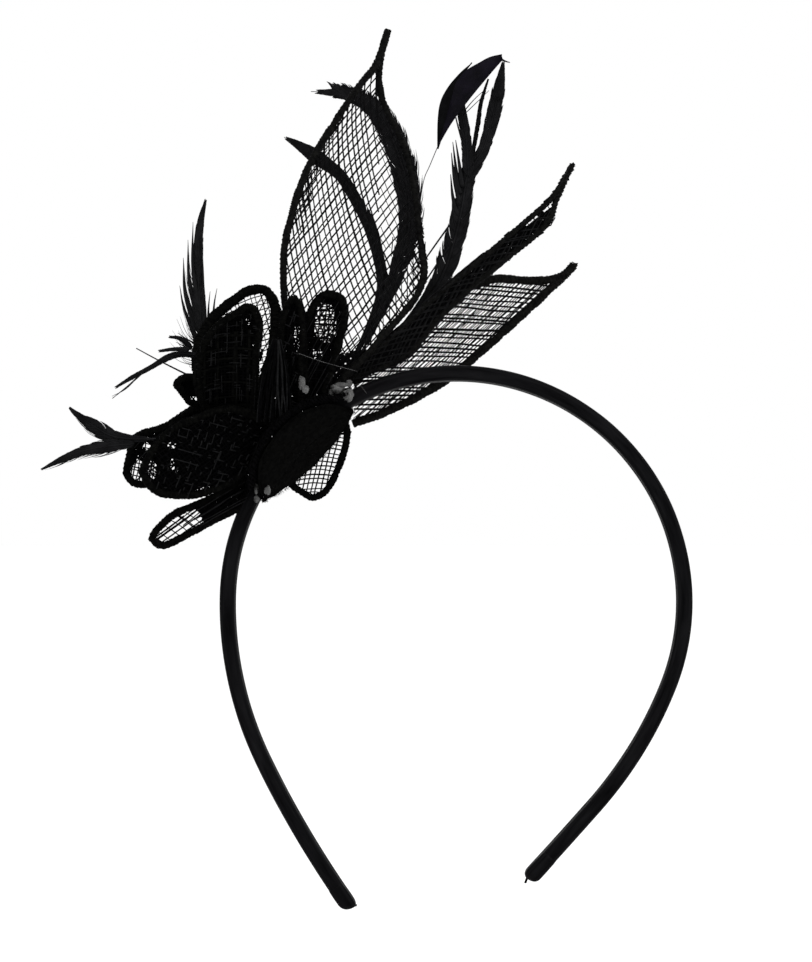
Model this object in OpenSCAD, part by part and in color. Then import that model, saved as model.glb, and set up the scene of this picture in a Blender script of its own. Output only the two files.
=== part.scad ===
// Fascinator headpiece: a satin-covered headband that carries a felt pad, a stiffened base,
// leaves and petals of open sinamay straw with rolled hems, and trimmed feathers.
// Millimetres. X runs to the wearer's right-hand side of the view, Z up, Y away from the viewer.
// The origin is the top of the wearer's head: the inside of the headband at its highest point.

/* [Headband] */
// Thickness of the covered band
band_t = 4.3; // [3.6:0.1:4.6]
// Width of the covered band, front to back
band_w = 8; // [7:0.5:9]
// Radius of the crown, to the middle of the band
crown_r = 62.85; // [60:0.05:66]
// Angle from the top of the crown to each place where the band flexes
hinge_deg = 75; // [70:1:80]
// Thickness of the springy strip inside the cover
core_t = 2; // [1.4:0.1:2.4]
// Width of the springy strip inside the cover
core_w = 6; // [4:0.5:6]
// Rounding of the cover's edges
cover_round = 1.6; // [0.6:0.1:1.7]

/* [Felt pad and base] */
// Thickness of the felt pad
felt_t = 1.5; // [1:0.1:2]
// Thickness of the stiffened base above the band
base_t = 1.2; // [0.8:0.1:1.4]
// Half the width of the pad, front to back
pad_half_w = 16; // [14:0.5:16]
// Half the length of the pad, in degrees round the crown
pad_half_deg = 16.5; // [14:0.5:17]
// Angle from the top of the crown to the middle of the pad
pad_deg = 44.5; // [44:0.5:46]

/* [Straw and feathers] */
// Thickness of the straw sheets
straw_t = 0.7; // [0.5:0.1:0.8]
// Diameter of their rolled hems
hem_d = 1.8; // [1.2:0.1:1.8]
// Thickness of a feather at its shaft
feather_t = 0.9; // [0.6:0.1:0.9]

/* [Hidden] */
$fn = 64;

// Each arm of the band is a chain of arcs from its hinge to its tip: [radius, degrees].
// The two arms differ, because the real band has set with its right arm curled further in.
ARM_RIGHT = [[crown_r, 112 - hinge_deg], [113, 19.5], [1500, 0.86]];
ARM_LEFT = [[crown_r, 89 - hinge_deg], [99, 27], [285, 8.75]];

crown_z = band_t / 2 - crown_r;   // height of the crown's centre
knuckle_gap = 0.1;                // clearance round the flexing end of each arm
core_gap = 0.05;                  // clearance between the strip and its cover
seam_gap = 0.02;                  // hairline between the arcs that an arm is made of
tip_len = 4;                      // length of the folded satin at each end

satin = [0.06, 0.06, 0.07];
spring = [0.25, 0.25, 0.27];
felt = [0.10, 0.10, 0.10];
straw = [0.09, 0.085, 0.09];
plume = [0.05, 0.05, 0.06];
violet = [0.13, 0.10, 0.18];

// ---- headband ----

// Points of one rounded corner; corners 0 to 3 run anticlockwise from the upper right
function corner(k, t, w, r) = [for (i = [0:4])
    let (q = 90 * k + 22.5 * i, x = k == 0 || k == 3 ? 1 : -1, y = k < 2 ? 1 : -1)
    [x * (t / 2 - r) + r * cos(q), y * (w / 2 - r) + r * sin(q)]];

module section(t, w, r) polygon([for (k = [0:3]) each corner(k, t, w, r)]);

module cover_outline() section(band_t, band_w, cover_round);
module core_outline(gap = 0) section(core_t + 2 * gap, core_w + 2 * gap, 0.6);
module cover_wall() {
    difference() {
        cover_outline();
        core_outline(core_gap);
    }
}

// Lays a drawing in the band's own plane: its x is the row's X and its y is the row's Z
module upright() translate([0, 0, crown_z]) rotate([90, 0, 0]) children();

// The place and heading of one flexing point: side 1 is right, -1 is left
module at_hinge(side) {
    upright() mirror([side < 0 ? 1 : 0, 0, 0])
        rotate([0, 0, 90 - hinge_deg]) translate([crown_r, 0, 0]) children();
}

// Sweeps a section along a chain of arcs that curls to the left as it runs down
module sweep_arcs(arcs, i = 0) {
    if (i < len(arcs)) {
        r = arcs[i][0];
        a = arcs[i][1];
        joint = i < len(arcs) - 1 ? seam_gap / r * 180 / PI : 0;
        translate([-r, 0, 0]) {
            rotate_extrude(angle = a - joint, start = joint - a) translate([r, 0]) children();
            rotate([0, 0, -a]) translate([r, 0, 0]) sweep_arcs(arcs, i + 1) children();
        }
    }
}

// Puts its children at the far end of a chain of arcs
module at_end(arcs, i = 0) {
    if (i < len(arcs))
        translate([-arcs[i][0], 0, 0]) rotate([0, 0, -arcs[i][1]])
            translate([arcs[i][0], 0, 0]) at_end(arcs, i + 1) children();
    else
        children();
}

module crown_part() {
    difference() {
        upright() rotate([0, 0, 90 - hinge_deg]) rotate_extrude(angle = 2 * hinge_deg)
            translate([crown_r, 0]) children();
        for (side = [-1, 1])
            at_hinge(side) cylinder(r = band_t / 2 + knuckle_gap, h = 2 * band_w, center = true);
    }
}

// Half of a turned knuckle with the cover's own profile, on the crown's side of the hinge
module knuckle() {
    rotate_extrude(angle = 180) polygon(concat(
        [[0, -band_w / 2]], corner(3, band_t, band_w, cover_round),
        corner(0, band_t, band_w, cover_round), [[0, band_w / 2]]));
}

module arm_cover(side, arcs) {
    color(satin) at_hinge(side) {
        sweep_arcs(arcs) cover_wall();
        knuckle();
    }
}

module core_crown() color(spring) crown_part() core_outline();
module core_right() color(spring) at_hinge(1) sweep_arcs(ARM_RIGHT) core_outline();
module core_left() color(spring) at_hinge(-1) sweep_arcs(ARM_LEFT) core_outline();
module cover_crown() color(satin) crown_part() cover_wall();
module cover_right() arm_cover(1, ARM_RIGHT);
module cover_left() arm_cover(-1, ARM_LEFT);

// The satin folded over the end of the band: a round end with a small corner of cloth
module folded_end(corner_of_cloth) {
    color(satin) rotate([0, 0, 180]) intersection() {
        rotate([90, 0, 0]) linear_extrude(height = 3 * tip_len, center = true) cover_outline();
        linear_extrude(height = band_w, center = true) {
            intersection() {
                translate([0, 1]) circle(r = tip_len - 1);
                translate([-band_t / 2, 0]) square([band_t, tip_len]);
            }
            polygon(corner_of_cloth);
        }
    }
}

module tip_right() {
    at_hinge(1) at_end(ARM_RIGHT)
        folded_end([[-2, 1.5], [-0.5, 3.3], [-1.5, 4.9], [-2, 4.6]]);
}

module tip_left() {
    at_hinge(-1) at_end(ARM_LEFT)
        folded_end([[-0.6, 2], [2.1, 1], [1.9, 4.2], [0.4, 4.2]]);
}

// ---- felt pad and base: thin oval plates that follow the band and step over its edges ----

// Height of the felt from the band's middle line, by distance front to back
felt_rise = [[-16, 4.6], [-4.4, -3.05], [4.4, -3.05], [16, -8.3]];
// Height of the base: above the band it clears it, and beyond it lies on the felt
base_gap = 1.6;
base_rise = [[-16, 4.6 + base_gap], [-9, base_gap], [-4.4, 2.95], [4.4, 2.95],
             [9, -5.15 + base_gap], [16, -8.3 + base_gap]];

function on_crown(r, a, y) = [-r * sin(a), y, crown_z + r * cos(a)];

module oval_plate(rise, t) {
    steps = 18;      // rings along the plate
    across = 12;     // strips across it
    far = 80;        // how near the round ends the rings come, in degrees
    rings = [for (i = [0:steps])
        let (q = far - 2 * far * i / steps, a = pad_deg + pad_half_deg * sin(q), w = pad_half_w * cos(q))
        [for (side = [1, -1], j = [0:across])
            let (y = side * w * (2 * j / across - 1))
            on_crown(crown_r + lookup(y, rise) + side * t / 2, a, y)]];
    closed_sweep(rings);
}

module felt_pad() color(felt) oval_plate(felt_rise, felt_t);
module straw_base() color(straw) oval_plate(base_rise, base_t);

module glue_drops() {
    color([0.75, 0.75, 0.72]) {
        translate([-29.5, -6.2, -4.3]) sphere(r = 1.8);
        translate([-42.5, -15.2, -1]) sphere(r = 1.4);
        translate([-54.5, -6.4, -32.5]) sphere(r = 2);
    }
}

// ---- sheets ----

function unit(v) = v / norm(v);

// A smooth curve through a list of points or numbers, u from 0 to 1
function along(p, u) =
    let (m = len(p) - 1, k = min(floor(u * m), m - 1), t = u * m - k,
         a = k > 0 ? p[k - 1] : 2 * p[0] - p[1], b = p[k], c = p[k + 1],
         d = k + 2 <= m ? p[k + 2] : 2 * p[m] - p[m - 1])
    (2 * b + (c - a) * t + (2 * a - 5 * b + 4 * c - d) * t * t
     + (3 * b - a - 3 * c + d) * t * t * t) / 2;

// Joins rings of points, each with its upper row and then its lower row, into one closed solid
module closed_sweep(rings) {
    n = len(rings);
    m = len(rings[0]);
    half = m / 2;
    sides = [for (i = [0:n - 2], j = [0:m - 1])
        let (a = i * m + j, b = i * m + (j + 1) % m)
        each [[a, b, b + m], [a, b + m, a + m]]];
    last = (n - 1) * m;
    ends = [for (j = [0:half - 2])
        let (k = m - 1 - j)
        each concat(
            [[j, k, j + 1]],
            [[k, k - 1, j + 1]],
            [[last + j, last + j + 1, last + k]],
            [[last + k, last + j + 1, last + k - 1]])];
    polyhedron(points = [for (r = rings) each r], faces = concat(sides, ends));
}

// Distances across a sheet of width w and the thickness at each: a thin web between two hems
function hemmed(w) =
    let (h = min(hem_d, w / 3), t = min(straw_t, 0.5 * h), web = w - 2.6 * h)
    concat([[0, 0.5 * h], [0.5 * h, h], [h, 0.65 * h]],
           [for (f = [0:0.25:1]) [1.3 * h + web * f, t]],
           [[w - h, 0.65 * h], [w - 0.5 * h, h], [w, 0.5 * h]]);

// Distances across a feather and the thickness at each: a shaft between thin vanes
function vaned(w) = [[0, 0.3], [w / 2, max(0.4, min(feather_t, w / 2))], [w, 0.3]];

function plain(w) = [[0, 1], [w / 3, 2], [2 * w / 3, 2], [w, 1]];

// One ring of a sheet between edge points a and b, bulging by cup times its width
function sheet_ring(a, b, ahead, cup, across) =
    let (c = b - a, w = norm(c), n = unit(cross(ahead, c)))
    [for (side = [1, -1], k = [0:len(across) - 1])
        let (s = side > 0 ? across[k] : across[len(across) - 1 - k], f = s[0] / w)
        a + c * f + n * (cup * w * 4 * f * (1 - f) + side * s[1] / 2)];

// A sheet with straw hems between its left and right edges, both listed from base to tip
module straw_sheet(left, right, cup = 0.08, steps = 18) {
    color(straw) closed_sweep([for (i = [0:steps])
        let (u = i / steps, a = along(left, u), b = along(right, u),
             lo = max(0, u - 0.02), hi = min(1, u + 0.02),
             ahead = along(left, hi) + along(right, hi) - along(left, lo) - along(right, lo))
        sheet_ring(a, b, ahead, cup, hemmed(norm(b - a)))]);
}

// A feather along its shaft: each place is [x, y, z, width], face is the way the vane faces
module feather(shaft, cup = 0.06, steps = 18, face = [0, -1, 0], tint = plume) {
    color(tint) closed_sweep([for (i = [0:steps])
        let (u = i / steps, p = along(shaft, u), w = max(0.5, p[3]), mid = [p[0], p[1], p[2]],
             d = along(shaft, min(1, u + 0.02)) - along(shaft, max(0, u - 0.02)),
             ahead = [d[0], d[1], d[2]], side = unit(cross(ahead, face)) * w / 2)
        sheet_ring(mid - side, mid + side, ahead, cup, vaned(w))]);
}

// ---- leaves ----

module leaf_tall() {
    straw_sheet(
        [[-40.6, -5, -4.1], [-46, -8, 9.5], [-47.5, -12, 24.5], [-46, -15, 39.5],
         [-40, -14, 58.5], [-28.5, -10, 78], [-21.5, -6, 87], [-19, -3, 96.5]],
        [[-33.2, -4, -2.7], [-17.5, -5, 14], [-8, 0, 26.5], [-8, 4, 39],
         [-12, 6, 61], [-18.5, 3, 76], [-20, -2, 86.5], [-17.7, -3, 96.5]], cup = 0.1, steps = 24);
}

module leaf_folded() {
    straw_sheet(
        [[-32.5, -1.5, 2], [-19.5, -3, 11.5], [-4.5, -5, 25], [12, -8, 39], [25, -11, 51], [31, -13, 59.5]],
        [[-30, -1, -0.5], [-14, 0, 5.5], [-3, -2, 17.5], [11.5, -5, 30.5], [26, -9, 41.5], [33, -12, 58]],
        cup = 0.15);
}

module leaf_wide() {
    straw_sheet(
        [[-28.5, 8, 0.5], [-15.5, 10, 13], [-4.5, 13, 22.5], [9.5, 16, 29], [21, 18, 28.5], [29, 19, 30.2], [32.6, 19, 33.8]],
        [[-28.5, 9.5, -11.5], [-15.5, 13, -6.5], [-3, 15, 0.5], [7, 17, 8], [21, 18, 20], [30.2, 19, 28.3], [34.2, 19, 32.4]],
        cup = -0.06, steps = 20);
}

// ---- petals ----

module petal_rear_high() {
    straw_sheet(
        [[-63.5, 0, -12], [-70.5, 3, -4], [-73, 8, 7.5], [-69.5, 13, 17.5], [-61, 16, 25], [-56, 17, 26.5]],
        [[-53.5, 2, -12], [-52, 5, -1], [-49, 9, 10], [-48.5, 14, 19.5], [-51, 17, 25.5], [-54.5, 17, 26.5]],
        cup = -0.1);
}

module petal_front_high() {
    straw_sheet(
        [[-63, -6, -13], [-70.5, -12, -5.5], [-71, -19, 5.5],
         [-67.5, -24, 14], [-60.5, -27, 18.5], [-57.5, -28, 19.5]],
        [[-55, -6, -13], [-54, -11, -4], [-53.5, -18, 6.5],
         [-52.5, -24, 14.5], [-54, -27, 19], [-56, -28, 19.5]],
        cup = 0.12);
}

module petal_slim() {
    straw_sheet(
        [[-47.2, -12.5, -8], [-48, -14, 2.5], [-47.5, -16, 13.5], [-46.5, -17, 20.5], [-44.7, -18, 22.5]],
        [[-41.8, -11.5, -7], [-41.5, -13, 2.5], [-41, -16, 12], [-41.5, -17, 19.5], [-43.2, -18, 22.5]]);
}

module petal_round() {
    straw_sheet(
        [[-41.4, -8, -6.3], [-42.5, -10, 4], [-42, -13, 15], [-38.5, -14, 22], [-35, -15, 23.5]],
        [[-35.5, -7, -5.3], [-32, -9.5, 7], [-29.5, -12.5, 16], [-30, -14, 21.5], [-33.3, -15, 23.5]],
        cup = 0.1);
}

module petal_under() {
    straw_sheet(
        [[-46, 12, -14], [-47.5, 19, -20.5], [-47, 23, -28], [-43, 25, -31.5], [-40.7, 25, -32.5]],
        [[-30.5, 13.5, -9], [-29, 18, -14.5], [-31, 21, -22], [-35, 24, -30], [-39.2, 25, -32.5]],
        cup = -0.1);
}

module petal_long() {
    straw_sheet(
        [[-58.4, -3, -26.8], [-69, -7, -32], [-77.5, -11, -35], [-82.5, -14, -39.5], [-83.5, -15, -42.3]],
        [[-60.5, -1.5, -33.2], [-66, -6, -38], [-74, -10, -43.5], [-80, -13, -46], [-82.7, -15, -44.2]],
        cup = 0.15);
}

module petal_rear_low() {
    straw_sheet(
        [[-60.5, -3, -11.5], [-70.5, -2, -7], [-80, 0, -12],
         [-88.5, 3, -14.5], [-90.5, 5, -20.5], [-91.5, 6, -25]],
        [[-58, -4, -20.5], [-66, -3, -24.5], [-76, -1, -27],
         [-84, 2, -29], [-89, 4, -29], [-91, 6, -26.5]],
        cup = -0.08);
}

module petal_front_low() {
    straw_sheet(
        [[-49.5, -9.5, -11.6], [-60.5, -14, -7], [-69.5, -18, -9],
         [-79, -21, -13.5], [-84, -23, -20.5], [-85.5, -23, -24.5]],
        [[-55.9, -7, -24.2], [-61.5, -9, -28], [-67, -13, -31],
         [-74, -17, -32.5], [-81.5, -21, -31], [-85, -23, -26]],
        cup = 0.08);
}

module petal_small() {
    straw_sheet(
        [[-69.5, -7, -8.5], [-73, -9, -6.5], [-75.5, -11, -3.5], [-77, -12, -1.8]],
        [[-68, -7, -1], [-71, -9, 1.5], [-74.5, -11, 1.5], [-76.5, -12, -0.5]], steps = 12);
}

// The gathered fold of straw at the middle of the petals
module centre_fold() {
    left = [[-51, -15, -8.5], [-51, -18, -1.5], [-50.5, -20, 5.5], [-50, -19, 11]];
    right = [[-46, -15, -8.5], [-46, -18, -1.5], [-46.5, -20, 5.5], [-48, -19, 11]];
    color(straw) closed_sweep([for (u = [0:0.1:1])
        let (a = along(left, u), b = along(right, u))
        sheet_ring(a, b, [0, 0, 1], 0.1, plain(norm(b - a)))]);
}

// ---- feathers ----

module feather_hackle() {
    feather([[-30.5, 1, -1, 1], [-23, 5, 14, 1.6], [-17.5, 9, 26.5, 4.4], [-13.5, 13, 39.5, 6],
             [-13, 16, 50.5, 7], [-15, 18, 62, 7.5], [-19, 19, 72, 6.5], [-24.5, 18, 77.5, 4.5],
             [-30.5, 16, 80.5, 3.5], [-36, 14, 81, 2.5], [-40.5, 13, 80.5, 0.6]], steps = 30);
}

module feather_biot() {
    feather([[-31.5, 2.6, -0.5, 1], [-25, 7, 13, 1.6], [-20.5, 10, 25.5, 3], [-21.5, 12, 35, 3.3],
             [-24, 12, 43.5, 3.6], [-28, 10, 51, 3.3], [-32, 7, 57, 3], [-37.5, 4, 61.5, 3.8],
             [-42, 1, 64.5, 2], [-47, -1, 67, 0.5]], steps = 26);
}

module feather_split() {
    feather([[-29, 4.2, 0.5, 1], [-15.5, 6, 14, 1.7], [-4.5, 8, 27, 5.5], [0, 10, 39, 5.5],
             [2, 11, 49, 4.7], [3, 12, 57.5, 5.5], [7, 13, 64.5, 4.7], [10.5, 14, 72.5, 4],
             [12, 15, 81, 2.8], [13, 15, 89, 0.6]], steps = 28);
    feather([[4, 14.5, 62.5, 2], [5.5, 15.5, 73, 1.6], [8, 16.5, 82, 0.5]], steps = 8);
    feather([[3, 10.5, 61, 3.4], [2.5, 11, 68.5, 2.8], [2, 11, 74, 1.6]], steps = 8);
}

module feather_folded() {
    left = [[-5, 9, 65], [-5.5, 12, 72], [-4, 14, 79], [0, 14, 85], [6, 13, 88], [12.5, 11, 90]];
    right = [[-4, 9, 65.5], [-1, 8, 70], [2, 7, 75], [6.5, 7, 81], [10.5, 8, 85], [13, 11, 89]];
    color(violet) closed_sweep([for (u = [0:1 / 16:1])
        let (a = along(left, u), b = along(right, u))
        sheet_ring(a, b, [1, 0, 1.2], 0.15, vaned(norm(b - a)))]);
    feather([[-27.5, 6.2, 1, 1], [-13.5, 8.4, 15, 1], [0, 12.5, 36.5, 1], [3.5, 14.5, 56.5, 1],
             [0, 15.5, 74, 0.8]], steps = 14);
}

module feather_rear() {
    feather([[-59.5, 5, -12, 1], [-64.5, 9, -2.5, 1.2], [-69, 14, 10, 3], [-71, 18, 23, 3.3],
             [-72, 21, 33.5, 2.5], [-71.5, 23, 44, 1.2], [-70, 24, 50, 0.6]], steps = 20);
    feather([[-71, 19, 16, 1.8], [-73, 22, 24.5, 1.6], [-75, 24, 34, 0.5]], steps = 8);
}

module feather_wisp() {
    feather([[-62.5, -3.5, -4.5, 0.8], [-67, -5, 3, 1], [-70, -6, 6.5, 1.4], [-77, -8, 7, 1.6],
             [-83.5, -10, 3.5, 1.2], [-89, -11, 0.5, 1], [-93, -12, -2, 0.5]], steps = 18);
    feather([[-73, -8.5, 8.5, 1.2], [-77, -9.5, 8.5, 1], [-81, -10.5, 8, 0.5]], steps = 5);
    feather([[-72.5, -4, 9, 1.6], [-75.5, -5, 11.5, 1], [-78.5, -6, 12, 0.5]], steps = 5);
}

module feather_fork() {
    feather([[-59.5, -7.5, -17, 0.8], [-70, -8, -16.5, 1], [-84, -8.5, -16, 1.4], [-90.5, -8, -17, 3],
             [-96, -7, -16.5, 3.2], [-101, -6, -13, 2.2], [-105.5, -5, -7.5, 0.5]], steps = 20);
    feather([[-96.5, -9, -18, 2], [-104.5, -8.5, -20, 1.6], [-112.5, -8, -23.5, 0.5]], steps = 8);
}

core_crown();
core_right();
core_left();
cover_crown();
cover_right();
cover_left();
tip_right();
tip_left();
felt_pad();
straw_base();
glue_drops();
leaf_tall();
leaf_folded();
leaf_wide();
petal_rear_high();
petal_front_high();
petal_slim();
petal_round();
petal_under();
petal_long();
petal_rear_low();
petal_front_low();
petal_small();
centre_fold();
feather_hackle();
feather_biot();
feather_split();
feather_folded();
feather_rear();
feather_wisp();
feather_fork();
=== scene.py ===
import math

import bpy
import numpy as np
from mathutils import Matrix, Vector
from mathutils.bvhtree import BVHTree


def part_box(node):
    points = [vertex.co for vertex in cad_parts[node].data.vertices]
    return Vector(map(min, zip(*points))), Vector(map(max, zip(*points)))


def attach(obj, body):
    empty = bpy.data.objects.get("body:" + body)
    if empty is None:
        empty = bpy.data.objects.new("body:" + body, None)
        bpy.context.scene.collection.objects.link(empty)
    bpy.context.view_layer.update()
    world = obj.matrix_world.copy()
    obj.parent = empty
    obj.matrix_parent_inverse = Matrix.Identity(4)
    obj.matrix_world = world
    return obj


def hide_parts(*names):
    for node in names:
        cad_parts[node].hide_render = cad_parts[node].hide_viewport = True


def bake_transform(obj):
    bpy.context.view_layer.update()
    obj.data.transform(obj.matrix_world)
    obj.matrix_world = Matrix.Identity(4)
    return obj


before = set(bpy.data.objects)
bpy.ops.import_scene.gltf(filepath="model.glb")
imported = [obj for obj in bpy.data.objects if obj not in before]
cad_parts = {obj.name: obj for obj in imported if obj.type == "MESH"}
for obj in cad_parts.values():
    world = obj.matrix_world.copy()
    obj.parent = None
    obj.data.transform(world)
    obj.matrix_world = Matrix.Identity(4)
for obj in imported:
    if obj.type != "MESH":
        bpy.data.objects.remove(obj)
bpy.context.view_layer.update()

MM = 0.001
TOWARDS_FRONT = (0, -1, 0)
NOISE_TABLE = 4096
rng = np.random.default_rng(7)

# ------------------------------------------------------------------ curves and meshes


def unit(v):
    v = np.asarray(v, float)
    return v / np.maximum(np.linalg.norm(v, axis=-1, keepdims=True), 1e-12)


def along(p, u):
    """A smooth curve through the points p, u from 0 to 1, as in the CAD source."""
    p, u = np.asarray(p, float), np.asarray(u, float)
    m = len(p) - 1
    k = np.clip((u * m).astype(int), 0, m - 1)
    t = (u * m - k)[..., None]
    e = np.vstack([2 * p[0] - p[1], p, 2 * p[m] - p[m - 1]])
    a, b, c, d = e[k], e[k + 1], e[k + 2], e[k + 3]
    return (2 * b + (c - a) * t + (2 * a - 5 * b + 4 * c - d) * t * t
            + (3 * b - a - 3 * c + d) * t ** 3) / 2


def distance_along(path):
    """The distance from the start of the polyline path to each of its points."""
    return np.concatenate([[0], np.cumsum(np.linalg.norm(np.diff(path, axis=0), axis=1))])


def resampled(path, step):
    """The polyline path with points every step millimetres or a little less."""
    path = np.asarray(path, float)
    s = distance_along(path)
    n = max(2, int(math.ceil(s[-1] / step)) + 1)
    at = np.linspace(0, s[-1], n)
    return columns_at(at, s, path)


def columns_at(at, s, rows):
    """Each column of rows, given at the places s, read off at the places at."""
    return np.stack([np.interp(at, s, rows[:, k]) for k in range(rows.shape[1])], -1)


def add_object(name, data):
    obj = bpy.data.objects.new(name, data)
    bpy.context.scene.collection.objects.link(obj)
    return obj


def smooth_noise(x, wave, seed, amount=1.0):
    """Repeatable one-dimensional noise with features about one wave long."""
    r = np.random.default_rng(seed).normal(size=NOISE_TABLE)
    x = np.asarray(x, float) / wave
    i = np.floor(x).astype(int)
    t = x - i
    t = t * t * (3 - 2 * t)
    return amount * (r[i % NOISE_TABLE] * (1 - t) + r[(i + 1) % NOISE_TABLE] * t)


class Build:
    """Collects vertices and faces in millimetres and makes one object of them."""

    def __init__(self):
        self.points, self.polys, self.slots, self.values = [], [], [], []
        self.count = 0

    def add(self, points, polys, slot=0, values=None):
        points = np.asarray(points, float).reshape(-1, 3)
        for p in polys:
            p = np.asarray(p, int)
            self.polys.append(p + self.count)
            self.slots.append(np.full(len(p), slot))
        self.points.append(points)
        self.values.append(np.zeros((len(points), 3)) if values is None else values)
        self.count += len(points)

    def tubes(self, paths, wide, thick=None, normal=TOWARDS_FRONT, sides=5, slot=0):
        """Closed tubes along paths of shape (tubes, places, 3)."""
        paths = np.asarray(paths, float)
        b, n = paths.shape[:2]
        thick = wide if thick is None else thick
        wide = np.broadcast_to(wide, (b, n))[..., None, None]
        thick = np.broadcast_to(thick, (b, n))[..., None, None]
        tangent = unit(np.gradient(paths, axis=1))
        side = unit(np.cross(tangent, np.broadcast_to(normal, paths.shape)))
        up = np.cross(side, tangent)
        q = 2 * np.pi * np.arange(sides) / sides
        ring = (paths[:, :, None] + side[:, :, None] * np.cos(q)[:, None] * wide
                + up[:, :, None] * np.sin(q)[:, None] * thick)
        k, i, j = np.meshgrid(np.arange(b), np.arange(n - 1), np.arange(sides), indexing="ij")
        base, j2 = (k * n + i) * sides, (j + 1) % sides
        quads = np.stack([base + j, base + sides + j, base + sides + j2, base + j2], -1)
        start = (np.arange(b) * n * sides)[:, None] + np.arange(sides)
        end = start[:, ::-1] + (n - 1) * sides
        self.add(ring, [quads.reshape(-1, 4), np.concatenate([start, end])], slot)

    def tube(self, path, wide, thick=None, normal=TOWARDS_FRONT, sides=5, slot=0):
        """One closed tube along path, with the half widths at its places."""
        normal = np.asarray(normal, float)
        self.tubes(np.asarray(path, float)[None], np.asarray(wide, float)[None],
                   None if thick is None else np.asarray(thick, float)[None],
                   normal[None] if normal.ndim == 2 else normal, sides, slot)

    def rings(self, rings, slot=0, values=None):
        """One closed skin over rings of shape (rings, points, 3)."""
        rings = np.asarray(rings, float)
        n, m = rings.shape[:2]
        i, j = np.meshgrid(np.arange(n - 1), np.arange(m), indexing="ij")
        j2 = (j + 1) % m
        quads = np.stack([i * m + j, i * m + m + j, i * m + m + j2, i * m + j2], -1)
        caps = [np.arange(m)[None], (n - 1) * m + np.arange(m)[None, ::-1]]
        self.add(rings, [quads.reshape(-1, 4), *caps], slot, values)

    def make(self, name, materials, attribute=None):
        """The object; the values given with the points become its attribute."""
        points = np.concatenate(self.points) * MM
        mesh = bpy.data.meshes.new(name)
        mesh.vertices.add(len(points))
        mesh.vertices.foreach_set("co", points.astype(np.float32).ravel())
        loops = np.concatenate([p.ravel() for p in self.polys])
        totals = np.concatenate([np.full(len(p), p.shape[1]) for p in self.polys])
        mesh.loops.add(len(loops))
        mesh.loops.foreach_set("vertex_index", loops.astype(np.int32))
        mesh.polygons.add(len(totals))
        starts = np.concatenate([[0], np.cumsum(totals)[:-1]])
        mesh.polygons.foreach_set("loop_start", starts.astype(np.int32))
        mesh.polygons.foreach_set("loop_total", totals.astype(np.int32))
        mesh.polygons.foreach_set("material_index", np.concatenate(self.slots).astype(np.int32))
        mesh.polygons.foreach_set("use_smooth", np.ones(len(totals), bool))
        if attribute:
            layer = mesh.attributes.new(attribute, "FLOAT_VECTOR", "POINT")
            layer.data.foreach_set("vector", np.concatenate(self.values).astype(np.float32).ravel())
        mesh.update(calc_edges=True)
        for m in materials:
            mesh.materials.append(m)
        return add_object(name, mesh)


# ------------------------------------------------------------------ materials


class Paint:
    """A small helper that lays out the nodes of one material."""

    def __init__(self, name, **values):
        self.material = bpy.data.materials.new(name)
        self.material.use_nodes = True
        self.nodes = self.material.node_tree.nodes
        self.links = self.material.node_tree.links
        self.shader = self.nodes["Principled BSDF"]
        for key, value in values.items():
            self.shader.inputs[key.replace("_", " ")].default_value = value

    def node(self, kind, **inputs):
        n = self.nodes.new(kind)
        for key, value in inputs.items():
            n.inputs[key].default_value = value
        return n

    def link(self, a, b):
        self.links.new(a, b)

    def place(self, stretch=(1, 1, 1), attribute=None):
        """Where on the object: metres in its own frame, or a stored attribute."""
        if attribute:
            source = self.node("ShaderNodeAttribute")
            source.attribute_name = attribute
            out = source.outputs["Vector"]
        else:
            out = self.node("ShaderNodeTexCoord").outputs["Object"]
        mapping = self.node("ShaderNodeMapping")
        mapping.inputs["Scale"].default_value = stretch
        self.link(out, mapping.inputs["Vector"])
        return mapping.outputs["Vector"]

    def noise(self, where, scale, detail=4, rough=0.6):
        n = self.node("ShaderNodeTexNoise", Scale=scale, Detail=detail, Roughness=rough)
        self.link(where, n.inputs["Vector"])
        return n.outputs["Fac"]

    def ramp(self, fac, low, high, at=(0.3, 0.7)):
        n = self.node("ShaderNodeValToRGB")
        for k, (place, value) in enumerate(zip(at, (low, high))):
            n.color_ramp.elements[k].position = place
            value = value if hasattr(value, "__len__") else (value,) * 3
            n.color_ramp.elements[k].color = (*value, 1)
        self.link(fac, n.inputs["Fac"])
        return n.outputs["Color"]

    def colour(self, fac, low, high, at=(0.3, 0.7)):
        self.link(self.ramp(fac, low, high, at), self.shader.inputs["Base Color"])

    def rough(self, fac, low, high):
        self.link(self.ramp(fac, low, high), self.shader.inputs["Roughness"])

    def bump(self, fac, strength, distance):
        n = self.node("ShaderNodeBump", Strength=strength, Distance=distance)
        self.link(fac, n.inputs["Height"])
        if self.shader.inputs["Normal"].is_linked:
            self.link(self.shader.inputs["Normal"].links[0].from_socket, n.inputs["Normal"])
        self.link(n.outputs["Normal"], self.shader.inputs["Normal"])

    def wave(self, where, scale, direction, distort):
        n = self.node("ShaderNodeTexWave", Scale=scale, Distortion=distort)
        n.bands_direction = direction
        self.link(where, n.inputs["Vector"])
        return n.outputs["Fac"]

    def grain(self, colours, mottle, rough, patch, relief, grit):
        """Mottled colour, uneven roughness and fine relief, each from a noise of its own.

        mottle and grit are the noises' scale, detail and roughness, patch a scale only;
        relief is the bump's strength and its height in metres."""
        where = self.place()
        self.colour(self.noise(where, *mottle), *colours)
        self.rough(self.noise(where, patch, 3), *rough)
        self.bump(self.noise(where, *grit), *relief)
        return self.material


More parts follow.
